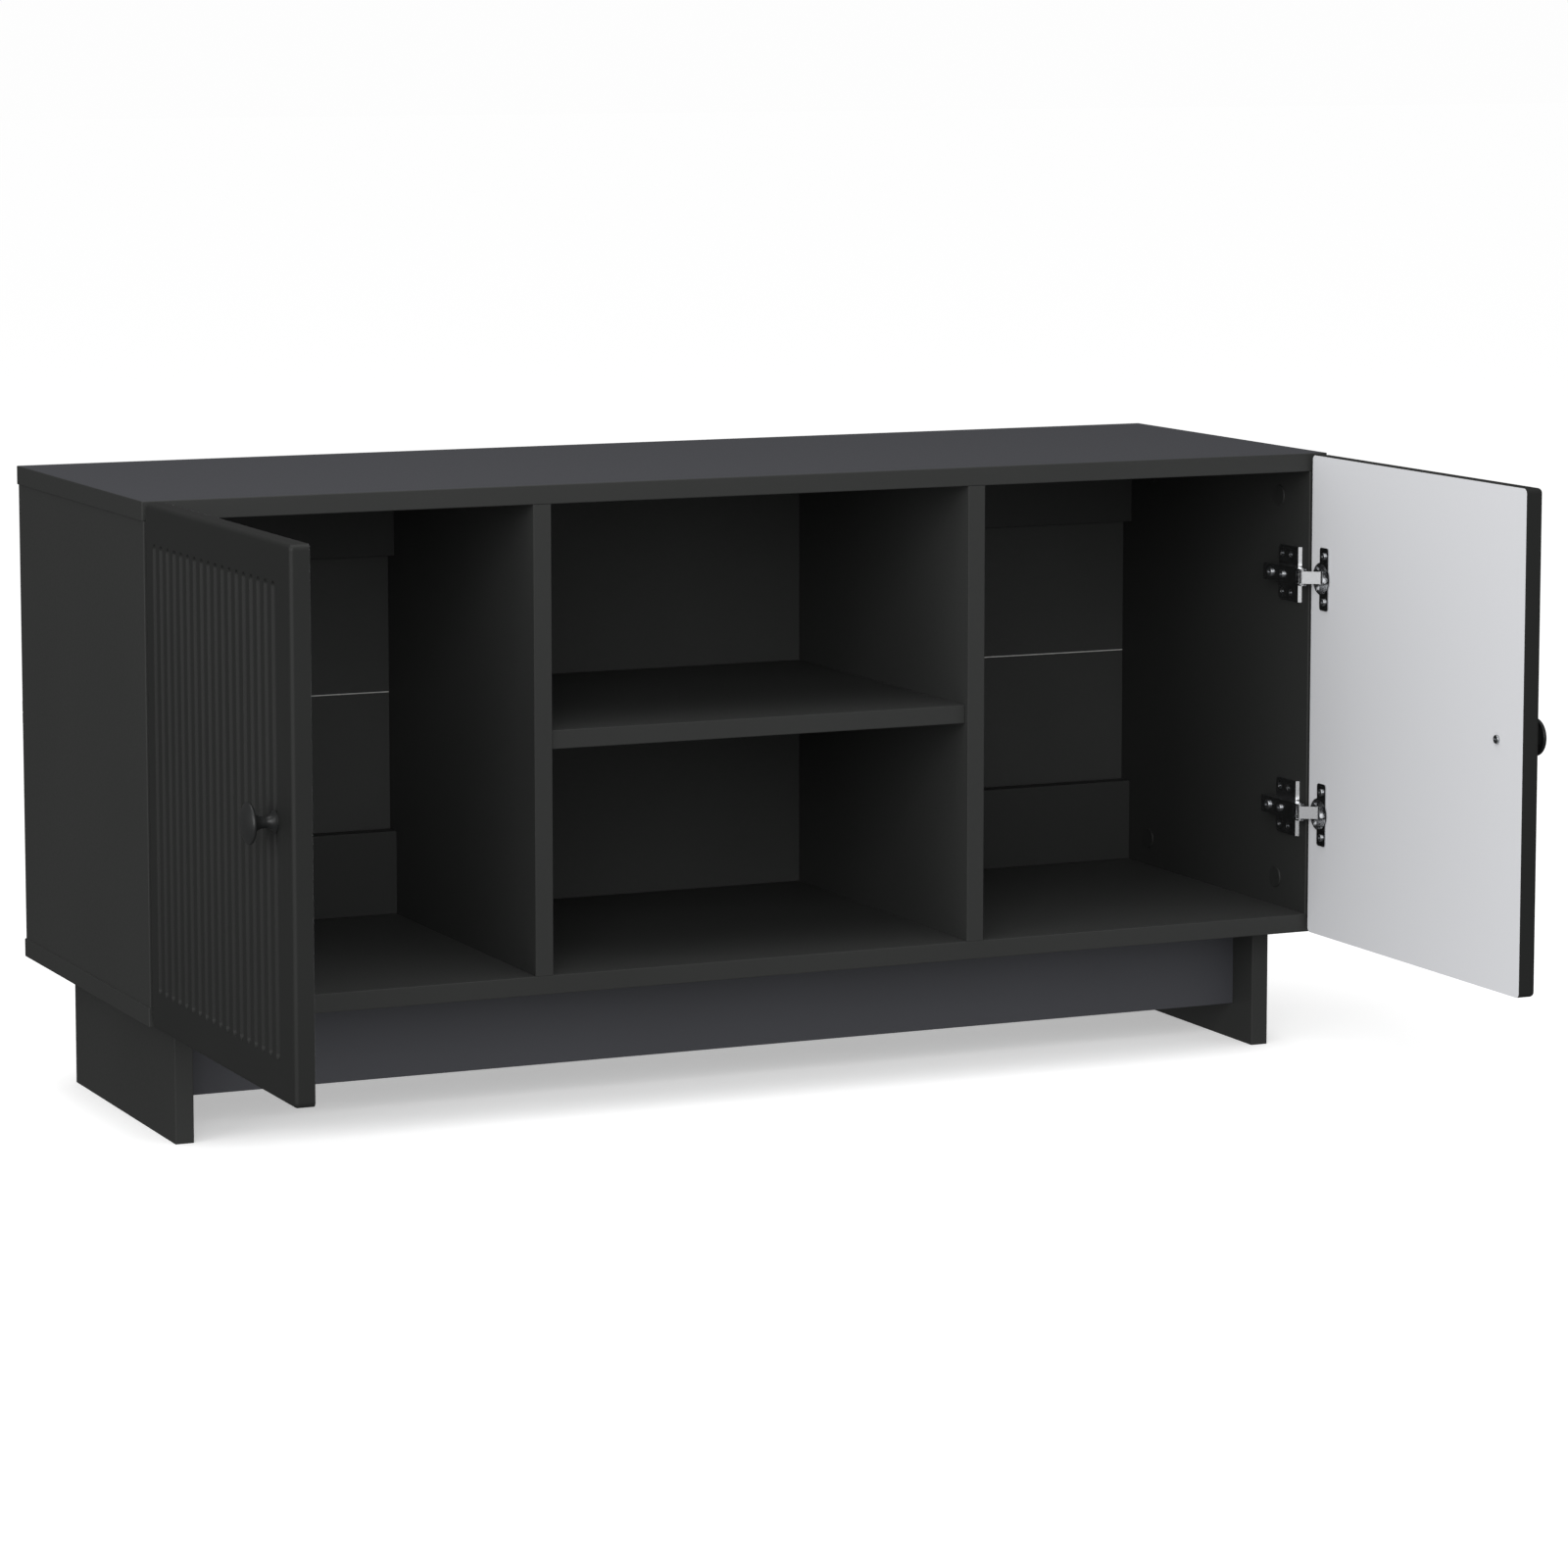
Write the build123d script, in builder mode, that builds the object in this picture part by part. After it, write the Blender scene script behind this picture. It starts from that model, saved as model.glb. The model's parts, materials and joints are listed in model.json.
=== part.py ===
from build123d import *
import math
import os

os.makedirs("parts", exist_ok=True)

# Carcass, in millimetres. X runs along the width, Y from front to back, Z up from the floor.
width = 1020.0
depth = 330.0
height = 500.0
board = 15.0
leg_height = 100.0
side_inset = 1.0
divider_offset = 180.0
shelf_setback = 5.0
rail_height = 70.0
back_thickness = 3.0
back_screw_head = 1.0
edge_radius = 0.8
base_inset = 31.0
leg_depth = 260.0
leg_setback = 35.0
plinth_setback = 68.0
plinth_clearance = 30.0
rear_rail_setback = 250.0
shelf_middle = (height + leg_height) / 2

# Doors.
door_width = 328.0
door_height = 398.0
closed_gap = 2.0
open_gap = 4.6
door_corner_radius = 4.0
door_edge_radius = 3.0
flute_count = 18
flute_pitch = 15.9
flute_width = 8.0
flute_depth = 3.0
first_flute = 22.0
flute_margin = 28.5
knob_from_hinge_edge = 291.0
knob_radius = 15.0
knob_neck_radius = 4.4
knob_base_radius = 8.0
knob_reach = 25.0
knob_bore = 12.0

# Hinges. Places are given from the side panel's inner face and the carcass front.
hinge_spacing = 196.0
arm_pivot = (-8.0, -4.0)
cup_pivot_depth = 3.5
cup_from_edge = 17.0
cup_radius = 13.0
cup_depth = 9.8
pin_clearance = 0.04

# Flat-pack fittings.
cam_radius = 7.5
cam_from_end = 24.0
dowel_radius = 4.0
dowel_length = 30.0
dowel_in_face = 11.0
bolt_in_face = 10.5
bolt_bore_radius = 2.55
cam_bore_depth = 13.2
cover_radius = 8.6
cover_thickness = 0.9
fit_clearance = 0.05
spare_bore = 0.5
hinge_screw_bore_radius = 1.85
back_screw_bore_radius = 1.55

# Worked-out places.
front_y = (open_gap + door_width - depth - back_screw_head) / 2
back_y = front_y + depth
inner_face_x = width / 2 - side_inset - board
outer_face_x = inner_face_x + board
bay_bottom = leg_height + board
bay_top = height - board
panel_back_y = back_y - back_thickness
leg_outer_x = width / 2 - base_inset
hinge_heights = (shelf_middle - hinge_spacing / 2, shelf_middle + hinge_spacing / 2)
plate_screw_rows = (25.0, 39.0)
plate_screw_rise = 16.0
dowel_bore_radius = dowel_radius + fit_clearance
dowel_in_end = dowel_length - dowel_in_face + spare_bore
shelf_pin_radius = 2.5
shelf_pin_in_board = 7.8
shelf_pin_z = shelf_middle - board / 2 - shelf_pin_radius
cam_rows = (front_y + 50, front_y + 275)
dowel_rows = (front_y + 100, front_y + 225)
leg_cam_rows = (front_y + 120, front_y + 230)
leg_dowel_row = front_y + 175
shelf_pin_rows = (front_y + 40, front_y + 285)
sides = {"left": -1, "right": 1}

# The cup pivot lies equally far from the arm pivot with the door open and with it closed.
arm_x, arm_y = arm_pivot
pivot_run = board - arm_x + open_gap + arm_y
cup_pivot_from_edge = (
    (board - arm_x) ** 2 + (closed_gap + cup_pivot_depth + arm_y) ** 2
    - (cup_pivot_depth - arm_x) ** 2 - (open_gap + arm_y) ** 2
) / (2 * pivot_run)
side_middle = outer_face_x - board / 2
divider_middle = divider_offset + board / 2


def save(piece, name):
    """Label a finished piece and write its file."""
    piece.part.label = name
    export_step(piece.part, f"parts/{name}.step")


def block(x_range, y_range, z_range, mode=Mode.ADD):
    """Straight block between two values on each axis."""
    with BuildSketch(Plane.XY.offset(z_range[0])) as outline:
        with Locations((sum(x_range) / 2, sum(y_range) / 2)):
            Rectangle(abs(x_range[1] - x_range[0]), abs(y_range[1] - y_range[0]))
    extrude(outline.sketch, amount=z_range[1] - z_range[0], mode=mode)


def round_bar(centre, direction, radius, length, mode=Mode.ADD):
    """Round bar or bore that starts at a point and runs along a direction."""
    with BuildSketch(Plane(origin=centre, z_dir=direction)) as outline:
        Circle(radius)
    extrude(outline.sketch, amount=length, mode=mode)


def cross_recess(centre, direction, span, recess_depth):
    """Cross-shaped driver recess sunk into a screw head."""
    with BuildSketch(Plane(origin=centre, z_dir=direction)) as outline:
        Rectangle(span, span * 0.26)
        Rectangle(span * 0.26, span)
    extrude(outline.sketch, amount=-recess_depth, mode=Mode.SUBTRACT)


def pan_screw(centre, direction, head_radius, head_height, shank_radius, shank_length):
    """Pan-head screw: its head stands on the centre along the direction."""
    with BuildPart() as screw:
        round_bar(centre, direction, head_radius, head_height)
        rims = screw.edges().filter_by(GeomType.CIRCLE)
        fillet(rims.sort_by(lambda rim: (rim.center() - Vector(centre)).length)[-1], head_height * 0.45)
        backward = tuple(-value for value in direction)
        round_bar(centre, backward, shank_radius, shank_length)
        top = tuple(c + d * head_height for c, d in zip(centre, direction))
        cross_recess(top, direction, head_radius * 1.15, head_height * 0.6)
    return screw


def group(pieces):
    """Several separate solids that share one node."""
    with BuildPart() as whole:
        for piece in pieces:
            add(piece.part)
    return whole


# Vertical boards: (name, middle in X, cam face direction in X).
uprights = (
    ("left_side_panel", -side_middle, 1),
    ("right_side_panel", side_middle, -1),
    ("left_divider", -divider_middle, 1),
    ("right_divider", divider_middle, 1),
)
# Ends of the upright boards: height of the end, direction out of the board.
upright_ends = ((bay_bottom, -1), (bay_top, 1))
rail_levels = {"lower": bay_bottom, "upper": bay_top - rail_height}
rail_dowel_offsets = (15.0, rail_height - 15.0)
rail_middle_y = panel_back_y - board / 2
base_rails = {"front_plinth": front_y + plinth_setback, "rear_base_rail": front_y + rear_rail_setback}
base_dowel_offsets = (15.0, 55.0)
back_screw_heights = (bay_bottom + 85.0, shelf_middle - 30.0, shelf_middle + 30.0, bay_top - 85.0)
back_screw_places = [(middle_x, z) for _, middle_x, _ in uprights for z in back_screw_heights]


def cam_bores(cam_centre_z, end_z, out, middle_x, face, row):
    """Bore for a cam from the board's face, and the bolt's bore from the board's end."""
    face_x = middle_x + face * board / 2
    round_bar((face_x, row, cam_centre_z), (-face, 0, 0), cam_radius + 0.1, cam_bore_depth, Mode.SUBTRACT)
    round_bar((middle_x, row, end_z), (0, 0, -out), 4.0, cam_from_end, Mode.SUBTRACT)


def dowel_bore(start, direction, length):
    """Bore for one end of a wooden dowel."""
    round_bar(start, direction, dowel_bore_radius, length, Mode.SUBTRACT)


def bolt_bore(start, up):
    """Bore for a cam bolt in a panel's face."""
    round_bar(start, (0, 0, up), bolt_bore_radius, bolt_in_face + spare_bore, Mode.SUBTRACT)


def rail_dowel_points(level):
    """Heights of a back rail's two dowels."""
    return [level + offset for offset in rail_dowel_offsets]


# Side panels and dividers.
for name, middle_x, face in uprights:
    with BuildPart() as upright:
        block((middle_x - board / 2, middle_x + board / 2), (front_y, panel_back_y), (bay_bottom, bay_top))
        fillet(upright.edges().filter_by(Axis.Z).group_by(Axis.Y)[0], edge_radius)
        for end_z, out in upright_ends:
            for row in cam_rows:
                cam_bores(end_z - out * cam_from_end, end_z, out, middle_x, face, row)
            for row in dowel_rows:
                dowel_bore((middle_x, row, end_z), (0, 0, -out), dowel_in_end)
        inward = -1 if middle_x > 0 else 1
        rail_face = inward if abs(middle_x) > divider_middle + board else -inward
        for level in rail_levels.values():
            for z in rail_dowel_points(level):
                start = (middle_x + rail_face * board / 2, rail_middle_y, z)
                dowel_bore(start, (-rail_face, 0, 0), dowel_in_face)
        for z in back_screw_heights:
            round_bar((middle_x, panel_back_y, z), (0, -1, 0), back_screw_bore_radius, 13.0, Mode.SUBTRACT)
        if "divider" in name:
            for y in shelf_pin_rows:
                round_bar((middle_x + inward * board / 2, y, shelf_pin_z), (-inward, 0, 0),
                          shelf_pin_radius + fit_clearance, shelf_pin_in_board + 0.2, Mode.SUBTRACT)
        if "side" in name:
            for z in hinge_heights:
                for y in plate_screw_rows:
                    for rise in (-plate_screw_rise, plate_screw_rise):
                        round_bar((middle_x + face * board / 2, front_y + y, z + rise), (-face, 0, 0),
                                  hinge_screw_bore_radius, 12.0, Mode.SUBTRACT)
    save(upright, name)

# Top and bottom panels, each with a rebate for the back panels.
rebate_height = 7.0
for name, z_range, face_z, inward in (
    ("top_panel", (bay_top, height), bay_top, 1),
    ("bottom_panel", (leg_height, bay_bottom), bay_bottom, -1),
):
    with BuildPart() as panel:
        block((-width / 2, width / 2), (front_y, back_y), z_range)
        fillet(panel.edges(), edge_radius)
        rebate_z = (face_z - inward, face_z + inward * rebate_height)
        block((-outer_face_x, outer_face_x), (panel_back_y, back_y + 1), sorted(rebate_z), Mode.SUBTRACT)
        for _, middle_x, _ in uprights:
            for row in cam_rows:
                bolt_bore((middle_x, row, face_z), inward)
            for row in dowel_rows:
                dowel_bore((middle_x, row, face_z), (0, 0, inward), dowel_in_face)
        if name == "bottom_panel":
            for side in sides.values():
                leg_middle = side * (leg_outer_x - board / 2)
                for row in leg_cam_rows:
                    bolt_bore((leg_middle, row, leg_height), 1)
                dowel_bore((leg_middle, leg_dowel_row, leg_height), (0, 0, 1), dowel_in_face)
    save(panel, name)

# Middle shelf, resting on four pins.
with BuildPart() as centre_shelf:
    block((-divider_offset + 0.5, divider_offset - 0.5), (front_y + shelf_setback, panel_back_y - 1),
          (shelf_middle - board / 2, shelf_middle + board / 2))
    fillet(centre_shelf.edges().filter_by(Axis.X), edge_radius)
save(centre_shelf, "centre_shelf")

# Back rails, across the top and bottom of both side compartments.
for side_name, side in sides.items():
    for level_name, level in rail_levels.items():
        ends = (side * (divider_offset + board), side * inner_face_x)
        with BuildPart() as rail:
            block(ends, (panel_back_y - board, panel_back_y), (level, level + rail_height))
            fillet(rail.edges().filter_by(Axis.X).group_by(Axis.Y)[0], edge_radius)
            for end_x, into in zip(ends, (side, -side)):
                for z in rail_dowel_points(level):
                    dowel_bore((end_x, rail_middle_y, z), (into, 0, 0), dowel_in_end)
        save(rail, f"{side_name}_{level_name}_back_rail")

# Back panels in two halves, and the strip that joins them.
strip_web = 0.8
strip_half_height = 9.0
strip_thickness = 0.8
back_overlap = 6.5
back_edge_x = outer_face_x - 0.5
back_halves = {
    "lower_back_panel": (bay_bottom - back_overlap, shelf_middle - strip_web / 2),
    "upper_back_panel": (shelf_middle + strip_web / 2, bay_top + back_overlap),
}
for name, z_range in back_halves.items():
    with BuildPart() as back_half:
        block((-back_edge_x, back_edge_x), (panel_back_y, back_y), z_range)
        for x, z in back_screw_places:
            if z_range[0] < z < z_range[1]:
                round_bar((x, back_y, z), (0, -1, 0), 1.6, back_thickness, Mode.SUBTRACT)
    save(back_half, name)
with BuildPart() as back_joining_strip:
    web_z = (shelf_middle - strip_web / 2, shelf_middle + strip_web / 2)
    cap_z = (shelf_middle - strip_half_height, shelf_middle + strip_half_height)
    block((-back_edge_x, back_edge_x), (panel_back_y + 0.3, back_y), web_z)
    block((-back_edge_x, back_edge_x), (back_y, back_y + strip_thickness), cap_z)
save(back_joining_strip, "back_joining_strip")
back_screws = [
    pan_screw((x, back_y, z), (0, 1, 0), 3.0, back_screw_head, 1.5, 15.0) for x, z in back_screw_places
]
save(group(back_screws), "back_panel_screws")

# Base: two leg panels, a front plinth and a rear rail.
base_rail_ends = leg_outer_x - board
for side_name, side in sides.items():
    leg_x = (side * (leg_outer_x - board), side * leg_outer_x)
    leg_middle = sum(leg_x) / 2
    with BuildPart() as leg:
        block(leg_x, (front_y + leg_setback, front_y + leg_setback + leg_depth), (0, leg_height))
        fillet(leg.edges().filter_by(Axis.Z), edge_radius)
        for row in leg_cam_rows:
            cam_bores(leg_height - cam_from_end, leg_height, 1, leg_middle, -side, row)
        dowel_bore((leg_middle, leg_dowel_row, leg_height), (0, 0, -1), dowel_in_end)
        for rail_y in base_rails.values():
            for offset in base_dowel_offsets:
                start = (leg_x[0], rail_y + board / 2, plinth_clearance + offset)
                dowel_bore(start, (side, 0, 0), dowel_in_face)
    save(leg, f"{side_name}_leg_panel")
for name, rail_y in base_rails.items():
    with BuildPart() as base_rail:
        block((-base_rail_ends, base_rail_ends), (rail_y, rail_y + board), (plinth_clearance, leg_height))
        fillet(base_rail.edges().filter_by(Axis.X).group_by(Axis.Z)[0], edge_radius)
        for side in sides.values():
            for offset in base_dowel_offsets:
                start = (side * base_rail_ends, rail_y + board / 2, plinth_clearance + offset)
                dowel_bore(start, (-side, 0, 0), dowel_in_end)
    save(base_rail, name)


def cam_lock(face_x, face, row, cam_z, out):
    """Round cam with a socket for the bolt's head and a cross recess in its face."""
    with BuildPart() as cam:
        start = face_x - face * 0.2
        round_bar((start, row, cam_z), (-face, 0, 0), cam_radius, cam_bore_depth - 0.6)
        cross_recess((start, row, cam_z), (face, 0, 0), 7.0, 1.6)
        socket_start = (face_x - face * board / 2, row, cam_z + out * cam_radius)
        round_bar(socket_start, (0, 0, -out), 3.9, cam_radius + 4.5, Mode.SUBTRACT)
    return cam


def cam_cover(face_x, face, row, cam_z):
    """Thin round cap that clips over a cam, with a bevelled rim."""
    with BuildPart() as cover:
        round_bar((face_x, row, cam_z), (face, 0, 0), cover_radius, cover_thickness)
        chamfer(cover.edges().sort_by(Axis.X)[-1 if face > 0 else 0], cover_thickness * 0.6)
    return cover


def cam_bolt(middle_x, row, end_z, out):
    """Bolt screwed into a panel's face, with a ball head that the cam grips."""
    with BuildPart() as bolt:
        round_bar((middle_x, row, end_z), (0, 0, out), 2.45, bolt_in_face)
        round_bar((middle_x, row, end_z), (0, 0, -out), 3.0, 20.0)
        round_bar((middle_x, row, end_z - out * 20.0), (0, 0, -out), 2.0, 4.0)
        round_bar((middle_x, row, end_z - out * 24.0), (0, 0, -out), 3.4, 3.0)
    return bolt


def dowel(start, direction):
    """Wooden dowel that runs from a start point along a direction."""
    with BuildPart() as pin:
        round_bar(start, direction, dowel_radius, dowel_length)
        chamfer(pin.edges().filter_by(GeomType.CIRCLE), 0.8)
    return pin


cams = []
covers = []
bolts = []
dowels = []
dowel_start = dowel_in_face - 0.3
for _, middle_x, face in uprights:
    face_x = middle_x + face * board / 2
    for end_z, out in upright_ends:
        cam_z = end_z - out * cam_from_end
        for row in cam_rows:
            cams.append(cam_lock(face_x, face, row, cam_z, out))
            covers.append(cam_cover(face_x, face, row, cam_z))
            bolts.append(cam_bolt(middle_x, row, end_z, out))
        for row in dowel_rows:
            dowels.append(dowel((middle_x, row, end_z + out * dowel_start), (0, 0, -out)))
for side in sides.values():
    leg_middle = side * (leg_outer_x - board / 2)
    face_x = leg_middle - side * board / 2
    for row in leg_cam_rows:
        cams.append(cam_lock(face_x, -side, row, leg_height - cam_from_end, 1))
        covers.append(cam_cover(face_x, -side, row, leg_height - cam_from_end))
        bolts.append(cam_bolt(leg_middle, row, leg_height, 1))
    dowels.append(dowel((leg_middle, leg_dowel_row, leg_height + dowel_start), (0, 0, -1)))
    for rail_y in base_rails.values():
        for offset in base_dowel_offsets:
            start = (side * (base_rail_ends + dowel_start), rail_y + board / 2, plinth_clearance + offset)
            dowels.append(dowel(start, (-side, 0, 0)))
    for level in rail_levels.values():
        for z in rail_dowel_points(level):
            outer_start = side * (inner_face_x + dowel_start)
            inner_start = side * (divider_offset + board - dowel_start)
            dowels.append(dowel((outer_start, rail_middle_y, z), (-side, 0, 0)))
            dowels.append(dowel((inner_start, rail_middle_y, z), (side, 0, 0)))
save(group(cams), "cam_locks")
save(group(covers), "cam_covers")
save(group(bolts), "cam_bolts")
save(group(dowels), "wooden_dowels")

# Shelf pins, half in the dividers and half under the shelf.
shelf_pins = []
for side in sides.values():
    for y in shelf_pin_rows:
        with BuildPart() as shelf_pin:
            start = (side * (divider_offset + shelf_pin_in_board), y, shelf_pin_z)
            round_bar(start, (-side, 0, 0), shelf_pin_radius, 2 * shelf_pin_in_board)
            chamfer(shelf_pin.edges().filter_by(GeomType.CIRCLE), 0.4)
        shelf_pins.append(shelf_pin)
save(group(shelf_pins), "shelf_pins")


def spot(side, x, y):
    """Point in plan, from the side panel's inner face and the carcass front."""
    return (side * (inner_face_x + x), front_y + y)


def door_spot(side, from_edge, above_face):
    """Point in plan on the open door, from its hinge edge and above its inner face."""
    return spot(side, -above_face, -open_gap - from_edge)


def plan_shape(points, z_range, mode=Mode.ADD):
    """Straight-sided outline in plan, raised between two heights."""
    with BuildSketch(Plane.XY.offset(z_range[0])) as outline:
        with BuildLine():
            Polyline(*points, close=True)
        make_face()
    extrude(outline.sketch, amount=z_range[1] - z_range[0], mode=mode)


def upright_bar(centre, z_range, radius, mode=Mode.ADD):
    """Round bar or bore that stands between two heights."""
    round_bar((centre[0], centre[1], z_range[0]), (0, 0, 1), radius, z_range[1] - z_range[0], mode)


# Hinge fittings.
plate_front = 11.5
plate_back = 46.0
plate_lift = 2.5
plate_ramp = 1.8
plate_half_height = 23.0
arm_half_height = 7.0
arm_wall = 1.2
arm_nose_radius = 3.2
arm_back = 56.0
arm_heel = 15.5
arm_web_front = 2.0
link_half_height = 5.1
link_wall = 1.0
link_arm_radius = 3.0
link_cup_radius = 2.4
link_waist = 1.2
pin_radius = 1.1
flange_thickness = 1.0
flange_length = 52.0
flange_width = 13.6
flange_offset = 4.5
flange_screw_rise = 19.0
cup_inner_radius = 12.3
cup_floor = 0.7


def hinge_plate(side, z):
    """Cast mounting plate with a ramped front edge and four countersunk holes."""
    with BuildPart() as plate:
        profile = [spot(side, 0, plate_front), spot(side, -plate_lift, plate_front + plate_ramp),
                   spot(side, -plate_lift, plate_back), spot(side, 0, plate_back)]
        plan_shape(profile, (z - plate_half_height, z + plate_half_height))
        fillet(plate.edges().filter_by(Axis.X).group_by(Axis.Y)[-1], 4.0)
        for y in plate_screw_rows:
            for rise in (-plate_screw_rise, plate_screw_rise):
                x, world_y = spot(side, -plate_lift, y)
                with Locations(Plane(origin=(x, world_y, z + rise), z_dir=(-side, 0, 0))):
                    CounterSinkHole(radius=1.9, counter_sink_radius=3.3)
    return plate


def hinge_arm(side, z):
    """Channel-shaped arm from the plate to the nose that holds the link's pin."""
    web_x = arm_pivot[0] - arm_nose_radius
    nose_y = arm_pivot[1]
    with BuildPart() as arm:
        profile = [spot(side, web_x, arm_back), spot(side, web_x, nose_y),
                   spot(side, arm_pivot[0] + arm_nose_radius, nose_y),
                   spot(side, -plate_lift, arm_heel), spot(side, -plate_lift, arm_back)]
        z_range = (z - arm_half_height, z + arm_half_height)
        plan_shape(profile, z_range)
        upright_bar(spot(side, *arm_pivot), z_range, arm_nose_radius)
        hollow = arm_half_height - arm_wall
        hollow_z = (z - hollow, z + hollow)
        nose_front = front_y + nose_y - 5
        x_range = (side * (inner_face_x + web_x + arm_wall), side * (inner_face_x + 1))
        block(x_range, (nose_front, front_y + arm_back + 1), hollow_z, Mode.SUBTRACT)
        x_range = (side * (inner_face_x + web_x - 1), side * (inner_face_x + web_x + arm_wall))
        block(x_range, (nose_front, front_y + arm_web_front), hollow_z, Mode.SUBTRACT)
        upright_bar(spot(side, *arm_pivot), z_range, pin_radius + pin_clearance, Mode.SUBTRACT)
        for y in (24.0, 44.0):
            x, world_y = spot(side, web_x - 1, y)
            round_bar((x, world_y, z), (side, 0, 0), 2.4, 3.0, Mode.SUBTRACT)
    return arm


def adjusting_screw(side, z, y, head_radius):
    """Screw through the arm's web, with a slotted head."""
    x, world_y = spot(side, arm_pivot[0] - arm_nose_radius, y)
    return pan_screw((x - side * 0.05, world_y, z), (-side, 0, 0), head_radius, 1.8, 2.2, 8.4)


open_cup_pivot = (cup_pivot_depth, -open_gap - cup_pivot_from_edge)
link_length = math.dist(arm_pivot, open_cup_pivot)
along = ((open_cup_pivot[0] - arm_pivot[0]) / link_length, (open_cup_pivot[1] - arm_pivot[1]) / link_length)
outward = (along[1], -along[0])


def beside(point, distance):
    """Point moved from the pivot line towards the link's web."""
    return (point[0] + outward[0] * distance, point[1] + outward[1] * distance)


def hinge_link(side, z):
    """U-shaped link: two ears with eyes and a web on the side away from the carcass."""
    z_range = (z - link_half_height, z + link_half_height)
    inner_z = (z - link_half_height + link_wall, z + link_half_height - link_wall)
    with BuildPart() as link:
        profile = [beside(arm_pivot, link_arm_radius), beside(open_cup_pivot, link_cup_radius),
                   beside(open_cup_pivot, link_waist), beside(arm_pivot, link_waist)]
        plan_shape([spot(side, *point) for point in profile], z_range)
        upright_bar(spot(side, *arm_pivot), z_range, link_arm_radius)
        upright_bar(spot(side, *open_cup_pivot), z_range, link_cup_radius)
        reach = 8.0
        first = (arm_pivot[0] - along[0] * reach, arm_pivot[1] - along[1] * reach)
        last = (open_cup_pivot[0] + along[0] * reach, open_cup_pivot[1] + along[1] * reach)
        arm_inside = link_arm_radius - link_wall
        cup_inside = link_cup_radius - link_wall
        hollow = [beside(first, arm_inside), beside(arm_pivot, arm_inside),
                  beside(open_cup_pivot, cup_inside), beside(last, cup_inside),
                  beside(last, -reach), beside(first, -reach)]
        plan_shape([spot(side, *point) for point in hollow], inner_z, Mode.SUBTRACT)
        for pivot in (arm_pivot, open_cup_pivot):
            upright_bar(spot(side, *pivot), z_range, pin_radius + pin_clearance, Mode.SUBTRACT)
    return link


def hinge_cup(side, z):
    """Pressed cup with screw wings, and two cheeks that hold the link's pin."""
    with BuildPart() as cup:
        out = (-side, 0, 0)
        into = (side, 0, 0)
        x, y = door_spot(side, cup_from_edge, 0)
        round_bar((x, y, z), into, cup_radius, cup_depth)
        round_bar((x, y, z), out, cup_radius + 0.4, flange_thickness)
        wing_y = door_spot(side, cup_from_edge + flange_offset, 0)[1]
        with BuildSketch(Plane(origin=(x, wing_y, z), x_dir=(0, 1, 0), z_dir=out)) as wings:
            RectangleRounded(flange_width, flange_length, 2.5)
        extrude(wings.sketch, amount=flange_thickness)
        lip = (x - side * flange_thickness, y, z)
        round_bar(lip, into, cup_inner_radius, cup_depth - cup_floor + flange_thickness, Mode.SUBTRACT)
        for rise in (-flange_screw_rise, flange_screw_rise):
            round_bar((x - side * 2, wing_y, z + rise), into, 1.9, 3.0, Mode.SUBTRACT)
        near = door_spot(side, cup_pivot_from_edge + 2.2, -1.2)
        far = door_spot(side, cup_pivot_from_edge - 5.0, -cup_depth + 0.3)
        for low, high in ((5.6, 12.0), (-12.0, -5.6)):
            with BuildSketch(Plane.XY.offset(z + low)) as cheek_plan:
                with Locations(((near[0] + far[0]) / 2, (near[1] + far[1]) / 2)):
                    Rectangle(abs(far[0] - near[0]), abs(far[1] - near[1]))
            cheek = extrude(cheek_plan.sketch, amount=high - low, mode=Mode.PRIVATE)
            with BuildSketch(Plane(origin=(x, y, z), z_dir=into)) as round_plan:
                Circle(cup_inner_radius + 0.2)
            core = extrude(round_plan.sketch, amount=cup_depth - 0.2, mode=Mode.PRIVATE)
            add(cheek & core)
        pivot = spot(side, *open_cup_pivot)
        upright_bar(pivot, (z - 7.6, z + 7.6), pin_radius + pin_clearance, Mode.SUBTRACT)
    return cup


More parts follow.
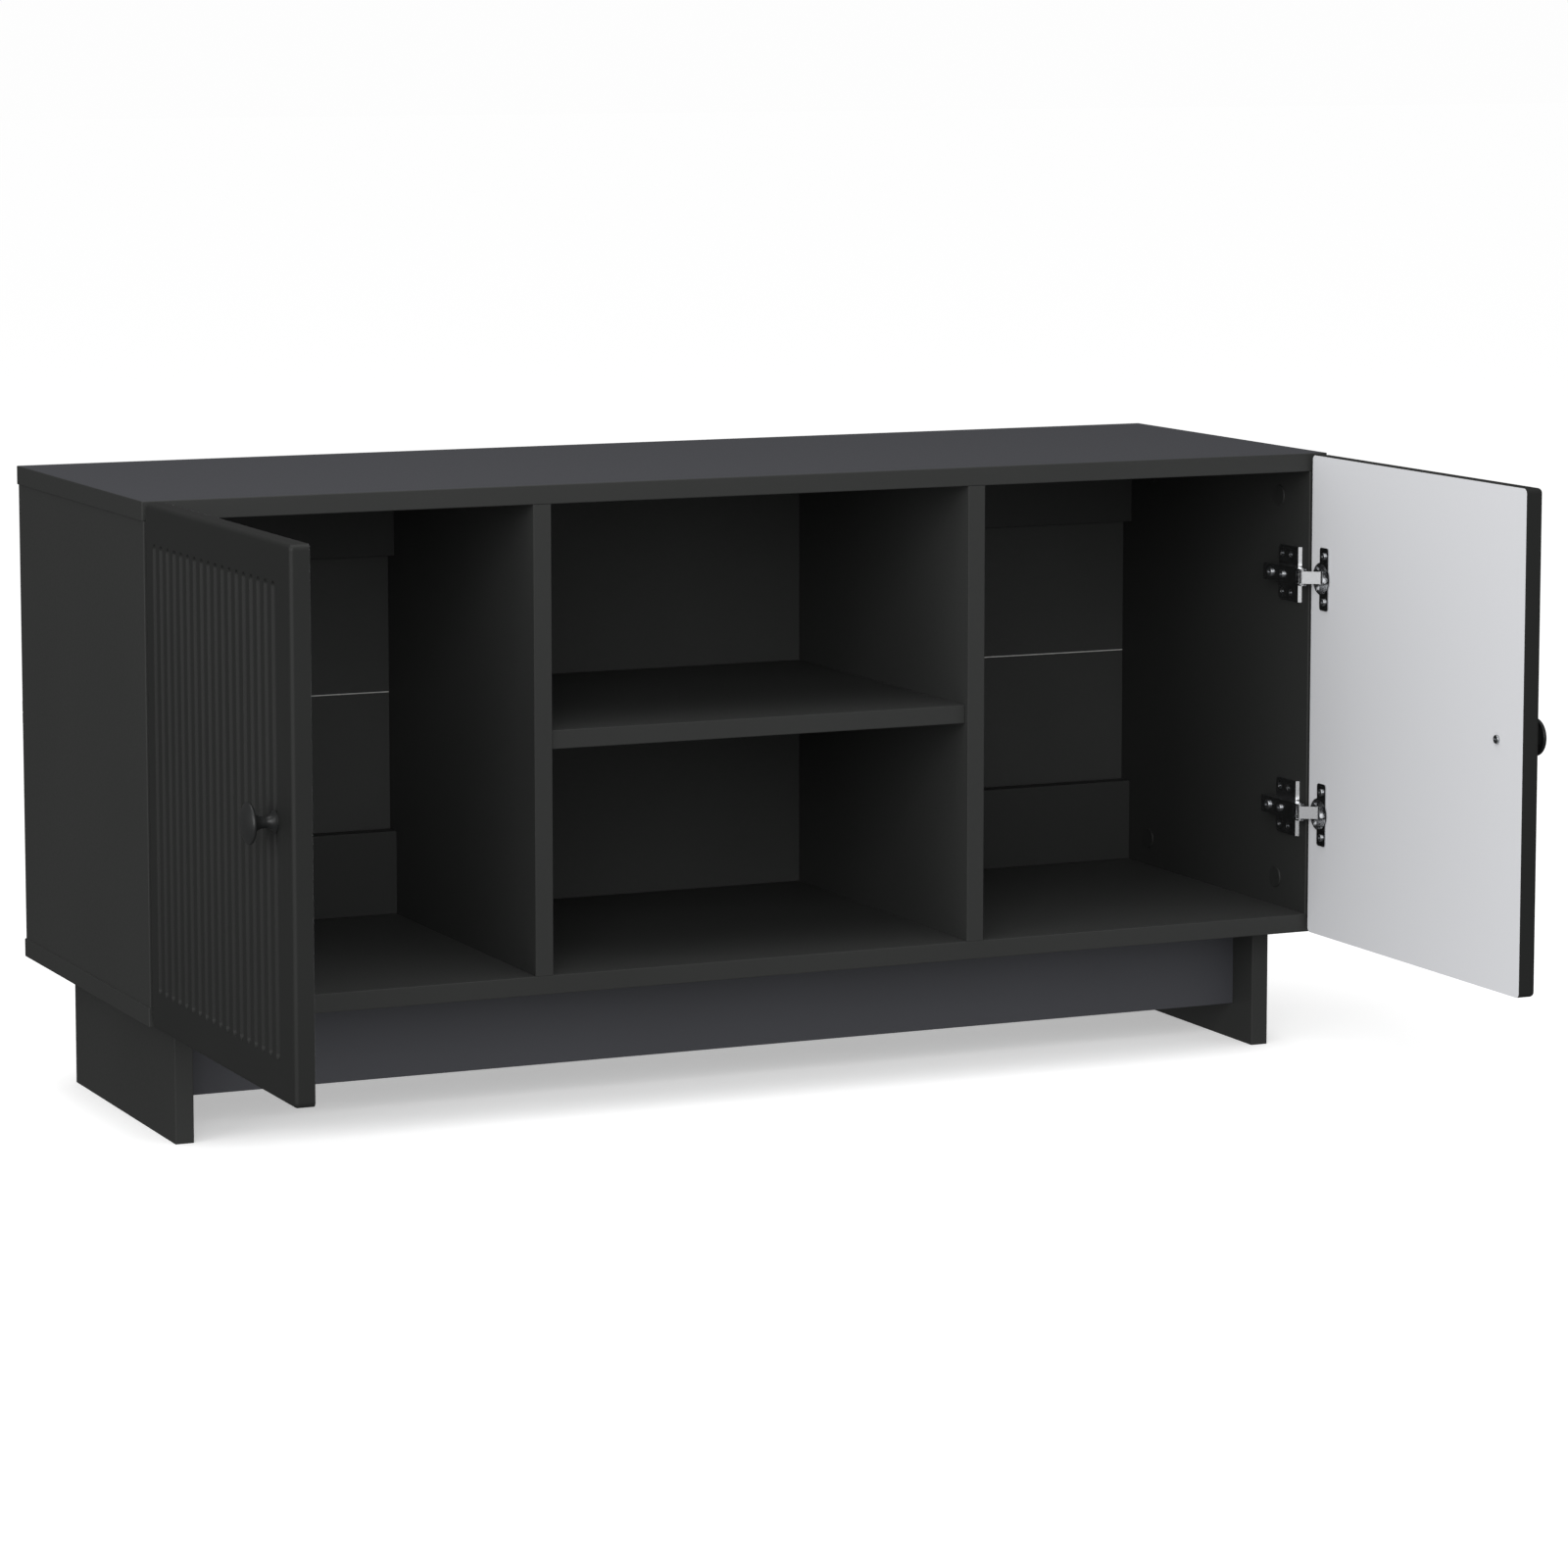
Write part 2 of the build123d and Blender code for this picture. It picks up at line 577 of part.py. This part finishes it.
cup_screws = {}
cup_pins = {}
plate_screws = []
adjusting_screws = []
arm_pins = []
for side_name, side in sides.items():
    cup_screws[side_name] = []
    cup_pins[side_name] = []
    for level_name, z in zip(("lower", "upper"), hinge_heights):
        save(hinge_plate(side, z), f"{side_name}_{level_name}_hinge_plate")
        save(hinge_arm(side, z), f"{side_name}_{level_name}_hinge_arm")
        save(hinge_link(side, z), f"{side_name}_{level_name}_hinge_link")
        save(hinge_cup(side, z), f"{side_name}_{level_name}_hinge_cup")
        for y, head_radius in ((24.0, 3.2), (44.0, 4.0)):
            adjusting_screws.append(adjusting_screw(side, z, y, head_radius))
        for y in plate_screw_rows:
            for rise in (-plate_screw_rise, plate_screw_rise):
                x, world_y = spot(side, -plate_lift, y)
                with BuildPart() as plate_screw:
                    with BuildSketch(Plane(origin=(x, world_y, z + rise), z_dir=(side, 0, 0))) as head:
                        Circle(3.1)
                    extrude(head.sketch, amount=1.5, taper=44)
                    round_bar((x, world_y, z + rise), (side, 0, 0), 1.75, 14.0)
                    cross_recess((x, world_y, z + rise), (-side, 0, 0), 3.6, 1.0)
                plate_screws.append(plate_screw)
        with BuildPart() as arm_pin:
            half_length = arm_half_height + 0.3
            upright_bar(spot(side, *arm_pivot), (z - half_length, z + half_length), pin_radius)
        arm_pins.append(arm_pin)
        with BuildPart() as cup_pin:
            upright_bar(spot(side, *open_cup_pivot), (z - 7.4, z + 7.4), pin_radius)
        cup_pins[side_name].append(cup_pin)
        for rise in (-flange_screw_rise, flange_screw_rise):
            x, y = door_spot(side, cup_from_edge + flange_offset, flange_thickness)
            cup_screws[side_name].append(pan_screw((x, y, z + rise), (-side, 0, 0), 3.0, 1.5, 1.75, 11.0))
    save(group(cup_screws[side_name]), f"{side_name}_cup_screws")
    save(group(cup_pins[side_name]), f"{side_name}_cup_pins")
save(group(plate_screws), "hinge_plate_screws")
save(group(adjusting_screws), "hinge_adjusting_screws")
save(group(arm_pins), "hinge_arm_pins")

# Doors, standing open at a right angle to the front.
flute_radius = ((flute_width / 2) ** 2 + flute_depth ** 2) / (2 * flute_depth)
door_bottom = shelf_middle - door_height / 2
door_top = shelf_middle + door_height / 2
flute_end_inset = math.sqrt(flute_radius ** 2 - (flute_radius - flute_depth) ** 2)
for side_name, side in sides.items():
    hinge_edge = door_spot(side, 0, 0)
    free_edge = door_spot(side, door_width, 0)
    middle_y = (hinge_edge[1] + free_edge[1]) / 2
    out = (side, 0, 0)
    with BuildPart() as door:
        with BuildSketch(Plane(origin=(hinge_edge[0], middle_y, shelf_middle), x_dir=(0, 1, 0),
                               z_dir=out)) as outline:
            RectangleRounded(door_width, door_height, door_corner_radius)
        extrude(outline.sketch, amount=board)
        outer_face = door.faces().sort_by(Axis.X)[-1 if side > 0 else 0]
        fillet(outer_face.edges(), door_edge_radius)
        flute_x = door_spot(side, 0, -board - flute_radius + flute_depth)[0]
        low = door_bottom + flute_margin + flute_end_inset
        high = door_top - flute_margin - flute_end_inset
        for index in range(flute_count):
            y = door_spot(side, first_flute + index * flute_pitch, 0)[1]
            upright_bar((flute_x, y), (low, high), flute_radius, Mode.SUBTRACT)
            with Locations((flute_x, y, low), (flute_x, y, high)):
                Sphere(flute_radius, mode=Mode.SUBTRACT)
        for z in hinge_heights:
            x, y = door_spot(side, cup_from_edge, 0)
            round_bar((x, y, z), out, cup_radius + 0.1, cup_depth + 0.2, Mode.SUBTRACT)
            x, y = door_spot(side, cup_from_edge + flange_offset, 0)
            for rise in (-flange_screw_rise, flange_screw_rise):
                round_bar((x, y, z + rise), out, hinge_screw_bore_radius, 10.6, Mode.SUBTRACT)
        x, y = door_spot(side, knob_from_hinge_edge, 0)
        round_bar((x, y, shelf_middle), out, 2.2, board, Mode.SUBTRACT)
    save(door, f"{side_name}_door")

    # Turned knob, and the screw that holds it from inside the door.
    knob_face = (side * outer_face_x, door_spot(side, knob_from_hinge_edge, 0)[1], shelf_middle)
    knob_plane = Plane(origin=knob_face, x_dir=(0, 0, 1), z_dir=(0, side, 0))
    with BuildPart() as knob:
        with BuildSketch(knob_plane) as profile:
            with BuildLine():
                Polyline((2.1, knob_bore), (2.1, 0), (knob_base_radius, 0), (knob_base_radius, 0.8))
                ThreePointArc((knob_base_radius, 0.8), (5.3, 3.6), (knob_neck_radius, 9.0))
                ThreePointArc((knob_neck_radius, 9.0), (6.8, 15.2), (knob_radius - 1.0, 18.0))
                ThreePointArc((knob_radius - 1.0, 18.0), (knob_radius, 19.6), (knob_radius - 1.0, 21.2))
                ThreePointArc((knob_radius - 1.0, 21.2), (knob_radius / 2, 24.1), (1.0, knob_reach))
                Polyline((1.0, knob_reach), (0, knob_reach), (0, knob_bore), (2.1, knob_bore))
            make_face()
        revolve(profile.sketch, axis=Axis(knob_face, (side, 0, 0)))
    save(knob, f"{side_name}_knob")
    x, y = door_spot(side, knob_from_hinge_edge, 0)
    knob_screw = pan_screw((x, y, shelf_middle), (-side, 0, 0), 3.6, 2.0, 2.0, board + 10.5)
    save(knob_screw, f"{side_name}_knob_screw")
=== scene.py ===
import json
import math

import bmesh
import bpy
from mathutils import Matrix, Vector


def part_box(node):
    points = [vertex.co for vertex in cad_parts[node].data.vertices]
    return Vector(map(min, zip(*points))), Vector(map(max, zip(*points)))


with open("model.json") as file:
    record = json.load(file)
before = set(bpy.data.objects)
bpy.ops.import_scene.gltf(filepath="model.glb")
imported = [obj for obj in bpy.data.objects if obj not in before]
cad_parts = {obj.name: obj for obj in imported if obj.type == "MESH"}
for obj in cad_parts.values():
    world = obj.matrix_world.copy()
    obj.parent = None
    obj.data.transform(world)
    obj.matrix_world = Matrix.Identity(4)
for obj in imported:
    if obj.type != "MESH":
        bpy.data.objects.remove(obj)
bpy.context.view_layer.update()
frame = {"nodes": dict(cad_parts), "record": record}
nodes = frame["nodes"]
mm = 0.001
# the range that nearly all of a noise pattern falls in
noiseLow = 0.3
noiseHigh = 0.7
print("frame loaded:", len(nodes), "nodes")

# plain look, so that the blacks of the cabinet stay as dark as they are
bpy.context.scene.view_settings.view_transform = "Standard"


# colours are sRGB hex, and this turns one to linear
def linearColour(hexColour):
    channels = [int(hexColour[i:i + 2], 16) / 255 for i in (1, 3, 5)]
    return [c / 12.92 if c <= 0.04045 else ((c + 0.055) / 1.055) ** 2.4 for c in channels] + [1.0]


# adds a node with its settings and values, and links its inputs; a link is (node, output);
# a colour Mix takes its factor at 0 and colours at 6 and 7 and gives its colour at 2,
# and a number Mix takes its factor at 0 and numbers at 2 and 3 and gives its number at 0
def addNode(tree, kind, settings=None, values=None, links=None):
    node = tree.nodes.new(kind)
    for key, value in (settings or {}).items():
        setattr(node, key, value)
    for key, value in (values or {}).items():
        node.inputs[key].default_value = value
    for key, (source, output) in (links or {}).items():
        tree.links.new(source.outputs[output], node.inputs[key])
    return node


def startMaterial(name):
    material = bpy.data.materials.new(name)
    material.use_nodes = True
    tree = material.node_tree
    tree.nodes.clear()
    return material, tree, addNode(tree, "ShaderNodeTexCoord")


# melamine-faced chipboard: resin paper pressed against a pearled plate, so it is matte with a fine pebble
blackMelamine = {"dark": "#2C2D2C", "light": "#303130", "grainMm": 1.3, "stretch": (1, 1, 1), "bump": 0.16,
                 "shadeMm": 160, "roughLow": 0.56, "roughHigh": 0.62, "ior": 1.48, "specular": 0.35}
# the same skin on the wide faces inside, painted a shade lighter than the band glued along the boards'
# front edges: painted light, standing in for light that falls off into the compartments
innerPaintedLightMelamine = dict(blackMelamine, dark="#363736", light="#3B3C3B")
edgeBandMm = 1.0
# the base and the top's upper face: the same paper, smoother, and painted lighter and a little bluer as
# painted light: light from above on the top, and the floor's reflected light on the base
bluerPaintedLightMelamine = {"dark": "#3E3F43", "light": "#424348", "grainMm": 1.3, "stretch": (1, 1, 1), "bump": 0.1,
                 "shadeMm": 160, "roughLow": 0.52, "roughHigh": 0.58, "ior": 1.48, "specular": 0.35}
# PVC foil drawn over milled fibreboard: a tight skin without sparkle, darker than the boards
doorFoil = {"dark": "#202120", "light": "#242524", "grainMm": 1.0, "stretch": (1, 1, 1), "bump": 0.12,
            "shadeMm": 120, "roughLow": 0.52, "roughHigh": 0.58, "ior": 1.48, "specular": 0.3}
# white melamine inside the doors: clean and cool
whiteMelamine = {"dark": "#D2D3D6", "light": "#D6D7DA"}
# hardboard: pressed fibres under thin black lacquer inside the cabinet, its colour lifted a shade as
# painted light for the light that falls off deep in the compartments, and bare at the back of it
hardboard = {"dark": "#363736", "light": "#3C3D3C", "grainMm": 3.0, "stretch": (1, 1, 2.5), "bump": 0.2,
             "shadeMm": 90, "roughLow": 0.58, "roughHigh": 0.66, "ior": 1.45, "specular": 0.3}
bareFibres = {"dark": "#6B4F37", "light": "#8A6A4B"}
# zinc knob sprayed with matte lacquer: the spray leaves a fine orange peel
knobLacquer = {"dark": "#1E1F1F", "light": "#232424", "grainMm": 0.9, "stretch": (1, 1, 1), "bump": 0.14,
               "shadeMm": 20, "roughLow": 0.36, "roughHigh": 0.44, "ior": 1.5, "specular": 0.5}
# moulded ABS: the mould's spark-eroded face leaves an even eggshell
blackAbs = {"dark": "#262726", "light": "#2A2B2A", "grainMm": 0.8, "stretch": (1, 1, 1), "bump": 0.12,
            "shadeMm": 12, "roughLow": 0.52, "roughHigh": 0.58, "ior": 1.53, "specular": 0.4}
# extruded PVC: smooth and slightly waxy, with a faint cream shade
whitePvc = {"dark": "#CFCFCC", "light": "#D8D8D5", "grainMm": 1.6, "stretch": (1, 1, 1), "bump": 0.05,
            "shadeMm": 40, "roughLow": 0.42, "roughHigh": 0.5, "ior": 1.53, "specular": 0.5}
# how far under a differently coloured face its colour still shows
faceSkinMm = 0.01
# height of a skin's grain, as a part of its spacing
grainDepth = 0.2


# a coloured skin: a slow shade across the piece, and a grain that breaks up its gloss;
# face is one flat side in other colours: (colours, axis, place on the axis, 1 or -1 for the way it looks)
def skinMaterial(name, skin, face=None):
    material, tree, place = startMaterial(name)
    spread = addNode(tree, "ShaderNodeMapping", values={"Scale": skin["stretch"]},
                     links={"Vector": (place, "Object")})
    shade = addNode(tree, "ShaderNodeTexNoise",
                    values={"Scale": 1 / (skin["shadeMm"] * mm), "Detail": 1.0},
                    links={"Vector": (place, "Object")})
    grain = addNode(tree, "ShaderNodeTexNoise",
                    values={"Scale": 1 / (skin["grainMm"] * mm), "Detail": 4.0},
                    links={"Vector": (spread, "Vector")})
    colour = addNode(tree, "ShaderNodeMix", {"data_type": "RGBA"},
                     {6: linearColour(skin["dark"]), 7: linearColour(skin["light"])},
                     {0: (shade, "Fac")})
    if face:
        colours, axis, surface, looks = face
        faceColour = addNode(tree, "ShaderNodeMix", {"data_type": "RGBA"},
                             {6: linearColour(colours["dark"]), 7: linearColour(colours["light"])},
                             {0: (grain, "Fac")})
        axes = addNode(tree, "ShaderNodeSeparateXYZ", links={"Vector": (place, "Object")})
        beyond = "GREATER_THAN" if looks > 0 else "LESS_THAN"
        onFace = addNode(tree, "ShaderNodeMath", {"operation": beyond},
                         {1: surface - looks * faceSkinMm * mm}, {0: (axes, axis)})
        colour = addNode(tree, "ShaderNodeMix", {"data_type": "RGBA"},
                         links={0: (onFace, "Value"), 6: (colour, 2), 7: (faceColour, 2)})
    rough = addNode(tree, "ShaderNodeMapRange",
                    values={"From Min": noiseLow, "From Max": noiseHigh,
                            "To Min": skin["roughLow"], "To Max": skin["roughHigh"]},
                    links={"Value": (grain, "Fac")})
    bump = addNode(tree, "ShaderNodeBump",
                   values={"Strength": skin["bump"], "Distance": skin["grainMm"] * grainDepth * mm},
                   links={"Height": (grain, "Fac")})
    shader = addNode(tree, "ShaderNodeBsdfPrincipled",
                     values={"IOR": skin["ior"], "Specular IOR Level": skin["specular"]},
                     links={"Base Color": (colour, 2), "Roughness": (rough, "Result"),
                            "Normal": (bump, "Normal")})
    addNode(tree, "ShaderNodeOutputMaterial", links={"Surface": (shader, "BSDF")})
    return material


# height of the marks on metal and of the flecks in wood
markDepthMm = 0.1
# nickel plate over pressed steel: clear and bright, with faint marks drawn along the strip
nickelPlate = {"dark": "#A8A9AB", "light": "#D2D3D5", "markMm": 1.4, "stretch": (1, 6, 1),
               "roughLow": 0.16, "roughHigh": 0.28, "marks": 0.08}
# bright zinc plate on the screws: cooler and duller, worn by the driver
brightZinc = {"dark": "#9FA1A4", "light": "#C6C8CA", "markMm": 0.8, "stretch": (1, 1, 1),
              "roughLow": 0.26, "roughHigh": 0.4, "marks": 0.1}
# raw zinc die casting: grey and grainy from the mould
rawZinc = {"dark": "#8E9092", "light": "#A9ABAD", "markMm": 1.0, "stretch": (1, 1, 1),
           "roughLow": 0.42, "roughHigh": 0.58, "marks": 0.3}


def metalMaterial(name, metal):
    material, tree, place = startMaterial(name)
    spread = addNode(tree, "ShaderNodeMapping", values={"Scale": metal["stretch"]},
                     links={"Vector": (place, "Object")})
    marks = addNode(tree, "ShaderNodeTexNoise",
                    values={"Scale": 1 / (metal["markMm"] * mm), "Detail": 4.0},
                    links={"Vector": (spread, "Vector")})
    colour = addNode(tree, "ShaderNodeMix", {"data_type": "RGBA"},
                     {6: linearColour(metal["dark"]), 7: linearColour(metal["light"])},
                     {0: (marks, "Fac")})
    rough = addNode(tree, "ShaderNodeMapRange",
                    values={"From Min": noiseLow, "From Max": noiseHigh,
                            "To Min": metal["roughLow"], "To Max": metal["roughHigh"]},
                    links={"Value": (marks, "Fac")})
    bump = addNode(tree, "ShaderNodeBump",
                   values={"Strength": metal["marks"], "Distance": markDepthMm * mm},
                   links={"Height": (marks, "Fac")})
    shader = addNode(tree, "ShaderNodeBsdfPrincipled", values={"Metallic": 1.0},
                     links={"Base Color": (colour, 2), "Roughness": (rough, "Result"),
                            "Normal": (bump, "Normal")})
    addNode(tree, "ShaderNodeOutputMaterial", links={"Surface": (shader, "BSDF")})
    return material


# turned beech: pale and dry, with short flecks along the grain
beech = {"dark": "#B98A5A", "light": "#D9B183", "fleckMm": 1.0, "stretch": (0.2, 1, 0.2), "flecks": 0.3,
         "rough": 0.6}


def beechMaterial():
    material, tree, place = startMaterial("turned_beech")
    spread = addNode(tree, "ShaderNodeMapping", values={"Scale": beech["stretch"]},
                     links={"Vector": (place, "Object")})
    flecks = addNode(tree, "ShaderNodeTexNoise",
                     values={"Scale": 1 / (beech["fleckMm"] * mm), "Detail": 3.0},
                     links={"Vector": (spread, "Vector")})
    colour = addNode(tree, "ShaderNodeMix", {"data_type": "RGBA"},
                     {6: linearColour(beech["dark"]), 7: linearColour(beech["light"])},
                     {0: (flecks, "Fac")})
    bump = addNode(tree, "ShaderNodeBump",
                   values={"Strength": beech["flecks"], "Distance": markDepthMm * mm},
                   links={"Height": (flecks, "Fac")})
    shader = addNode(tree, "ShaderNodeBsdfPrincipled", values={"Roughness": beech["rough"]},
                     links={"Base Color": (colour, 2), "Normal": (bump, "Normal")})
    addNode(tree, "ShaderNodeOutputMaterial", links={"Surface": (shader, "BSDF")})
    return material


# board inside the cabinet: its wide faces painted a shade lighter as painted light, and its front edge
# band left in the black of the carcass
def paintedLightInnerBoard(node):
    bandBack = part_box(node)[0].y + edgeBandMm * mm
    return skinMaterial(node + "_melamine", innerPaintedLightMelamine, (blackMelamine, "Y", bandBack, -1))


# every CAD node takes the material of its slot in the record, and nine nodes have their own
bluerPaintedLightBoard = skinMaterial("bluer_melamine_painted_light", bluerPaintedLightMelamine)
slotMaterials = {
    "black_melamine": skinMaterial("black_melamine_board", blackMelamine),
    "black_hardboard": skinMaterial("lacquered_hardboard", hardboard,
                                    (bareFibres, "Y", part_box("upper_back_panel")[1].y, 1)),
    "black_knob": skinMaterial("black_sprayed_lacquer", knobLacquer),
    "black_plastic": skinMaterial("black_moulded_abs", blackAbs),
    "white_strip": skinMaterial("white_extruded_pvc", whitePvc),
    "cast_zinc": metalMaterial("raw_cast_zinc", rawZinc),
    "beech": beechMaterial(),
    "nickel_screws": metalMaterial("bright_zinc_plated_steel", brightZinc),
    "nickel_hinge": metalMaterial("nickel_plated_steel", nickelPlate),
}
ownMaterials = {
    # dividers and shelf: wide faces in the copy painted lighter as painted light
    "left_divider": paintedLightInnerBoard("left_divider"),
    "right_divider": paintedLightInnerBoard("right_divider"),
    "centre_shelf": paintedLightInnerBoard("centre_shelf"),
    # the bottom's upper face, the floor of the compartments, in the copy painted lighter as painted light
    "bottom_panel": skinMaterial("black_melamine_bottom", blackMelamine,
                                 (innerPaintedLightMelamine, "Z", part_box("bottom_panel")[1].z, 1)),
    "left_door": skinMaterial("left_door_foil", doorFoil,
                              (whiteMelamine, "X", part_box("left_door")[1].x, 1)),
    "right_door": skinMaterial("right_door_foil", doorFoil,
                               (whiteMelamine, "X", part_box("right_door")[0].x, -1)),
    # the top's upper face in the lighter, bluer copy: painted light from above
    "top_panel": skinMaterial("black_melamine_top", blackMelamine,
                              (bluerPaintedLightMelamine, "Z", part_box("top_panel")[1].z, 1)),
    # the base all in the lighter, bluer copy: painted reflection of the floor's light
    "front_plinth": bluerPaintedLightBoard,
    "rear_base_rail": bluerPaintedLightBoard,
}
for subpart in frame["record"]["subparts"]:
    piece = nodes[subpart["node"]]
    material = ownMaterials.get(subpart["node"]) or slotMaterials[subpart["material_slot"]]
    for slot in piece.material_slots:
        slot.material = material
    if not piece.material_slots:
        piece.data.materials.append(material)
print("materials assigned")


# pale floor that runs out to the surround; gloss and bounce on the cabinet come from the surround alone
stage = {"floorSize": 60.0, "floorColour": "#EFEFEF", "floorRough": 0.9, "floorGlow": 0.42}


def makeFloor():
    shape = bmesh.new()
    bmesh.ops.create_grid(shape, x_segments=1, y_segments=1, size=stage["floorSize"] / 2)
    mesh = bpy.data.meshes.new("floor")
    shape.to_mesh(mesh)
    shape.free()
    floor = bpy.data.objects.new("floor", mesh)
    bpy.context.scene.collection.objects.link(floor)
    material = bpy.data.materials.new("pale_studio_floor")
    material.use_nodes = True
    surface = material.node_tree.nodes["Principled BSDF"]
    surface.inputs["Base Color"].default_value = linearColour(stage["floorColour"])
    surface.inputs["Roughness"].default_value = stage["floorRough"]
    surface.inputs["Specular IOR Level"].default_value = 0.0
    surface.inputs["Emission Color"].default_value = (1.0, 1.0, 1.0, 1.0)
    surface.inputs["Emission Strength"].default_value = stage["floorGlow"]
    mesh.materials.append(material)
    floor.visible_glossy = False
    floor.visible_diffuse = False


makeFloor()


# surround: white to the eye, softer where it lights the piece, and dim where the piece mirrors it;
# the card only puts a glint on the metal
surround = {"seen": 0.985, "lighting": 0.66, "mirrored": 0.1}
softBoxes = [
    {"name": "topBox", "place": (-0.2, -0.3, 2.6), "size": 2.2, "power": 28},
    {"name": "glossCard", "place": (-1.9, -2.6, 0.45), "size": 1.7, "power": 9, "glossOnly": True},
    {"name": "leftBox", "place": (-3.6, -1.5, 1.3), "size": 2.4, "power": 46},
    {"name": "frontBox", "place": (-1.5, -3.5, 1.8), "size": 2.4, "power": 58},
]
boxTarget = Vector((0, 0, 0.25))


def makeLights():
    world = bpy.data.worlds.new("studio_surround")
    world.use_nodes = True
    tree = world.node_tree
    tree.nodes.clear()
    ray = addNode(tree, "ShaderNodeLightPath")
    unseen = addNode(tree, "ShaderNodeMix", {"data_type": "FLOAT"},
                     {2: surround["lighting"], 3: surround["mirrored"]}, {0: (ray, "Is Glossy Ray")})
    strength = addNode(tree, "ShaderNodeMix", {"data_type": "FLOAT"}, {3: surround["seen"]},
                       {0: (ray, "Is Camera Ray"), 2: (unseen, 0)})
    glow = addNode(tree, "ShaderNodeBackground", values={"Color": (1.0, 1.0, 1.0, 1.0)},
                   links={"Strength": (strength, 0)})
    addNode(tree, "ShaderNodeOutputWorld", links={"Surface": (glow, "Background")})
    bpy.context.scene.world = world
    for box in softBoxes:
        light = bpy.data.lights.new(box["name"], "AREA")
        light.shape = "SQUARE"
        light.size = box["size"]
        light.energy = box["power"]
        lamp = bpy.data.objects.new(box["name"], light)
        lamp.location = box["place"]
        lamp.visible_diffuse = not box.get("glossOnly")
        lamp.rotation_euler = (boxTarget - lamp.location).to_track_quat("-Z", "Y").to_euler()
        bpy.context.scene.collection.objects.link(lamp)


makeLights()


# camera: in front, to the left and a little above, with a long lens
cameraSettings = {"place": (-1.7235, -3.845, 0.8862), "turn": 24.358, "tilt": 6.848, "lens": 123.41,
                  "sensor": 36, "shiftY": -0.1}


def makeCamera():
    data = bpy.data.cameras.new("camera")
    data.lens = cameraSettings["lens"]
    data.sensor_width = cameraSettings["sensor"]
    data.shift_y = cameraSettings["shiftY"]
    camera = bpy.data.objects.new("camera", data)
    camera.location = cameraSettings["place"]
    camera.rotation_euler = (math.radians(90 - cameraSettings["tilt"]), 0,
                             -math.radians(cameraSettings["turn"]))
    bpy.context.scene.collection.objects.link(camera)
    bpy.context.scene.camera = camera


makeCamera()
print("floor, lights and camera made")
